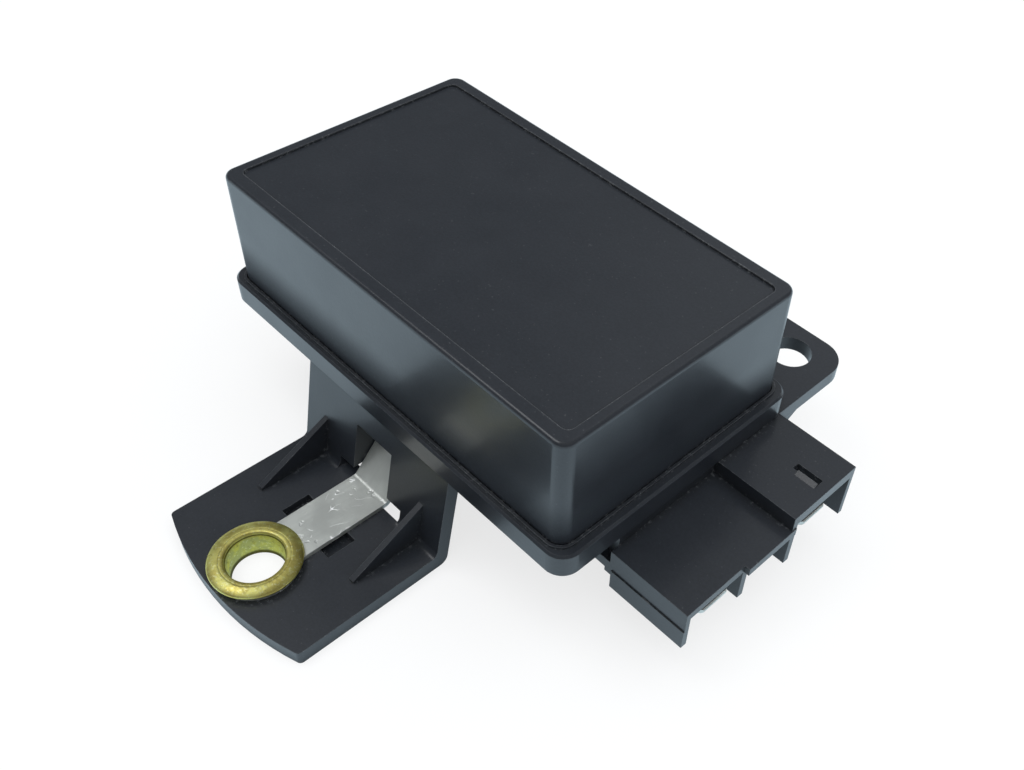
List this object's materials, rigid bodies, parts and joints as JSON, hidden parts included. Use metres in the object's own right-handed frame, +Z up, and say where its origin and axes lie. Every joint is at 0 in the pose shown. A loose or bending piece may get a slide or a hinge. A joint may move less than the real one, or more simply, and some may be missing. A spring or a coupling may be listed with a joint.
{
  "type": "alternator voltage regulator",
  "caption": "Alternator voltage regulator: moulded box housing on a lugged base, with a flanged earth bush, a fixing ear and hooded blade terminals.",
  "frame": {"origin": "axis of the earth bush, at the seat of the lug that carries it", "axes": "+Z up along the bush's axis, from the lug to the cover; +X along the long side of the housing towards the blade terminals; +Y from the bush towards the fixing ear"},
  "size_m": [0.0946, 0.097, 0.0424],
  "materials": {
    "base_plastic": "satin moulded",
    "cover_plastic": "satin moulded",
    "sealant": "dull",
    "tinned_metal": "bright tinned",
    "bush_brass": "passivated satin",
    "board_laminate": "satin",
    "sink_aluminium": "satin",
    "pad_silicone": "dull",
    "case_epoxy": "matt",
    "diode_epoxy": "semi-gloss",
    "zener_body": "gloss",
    "resistor_coat": "gloss",
    "capacitor_case": "gloss",
    "fastener_steel": "zinc plated"
  },
  "bodies": {
    "root": {"base": "base_plastic", "cover": "cover_plastic", "cover_seal": "sealant", "earth_strap": "tinned_metal", "earth_bush": "bush_brass", "supply_blade": "tinned_metal", "field_blade": "tinned_metal", "circuit_board": "board_laminate", "board_screws": "fastener_steel", "heat_sink": "sink_aluminium", "insulating_pad": "pad_silicone", "power_transistor": "case_epoxy", "clamp_screw": "fastener_steel", "clamp_nut": "fastener_steel", "freewheel_diode": "diode_epoxy", "zener_diode": "zener_body", "base_resistor": "resistor_coat", "bias_resistor": "resistor_coat", "feedback_resistor": "resistor_coat", "upper_sense_resistor": "resistor_coat", "lower_sense_resistor": "resistor_coat", "driver_transistor": "case_epoxy", "sense_transistor": "case_epoxy", "filter_capacitor": "capacitor_case", "feedback_capacitor": "capacitor_case"}
  },
  "joints": []
}
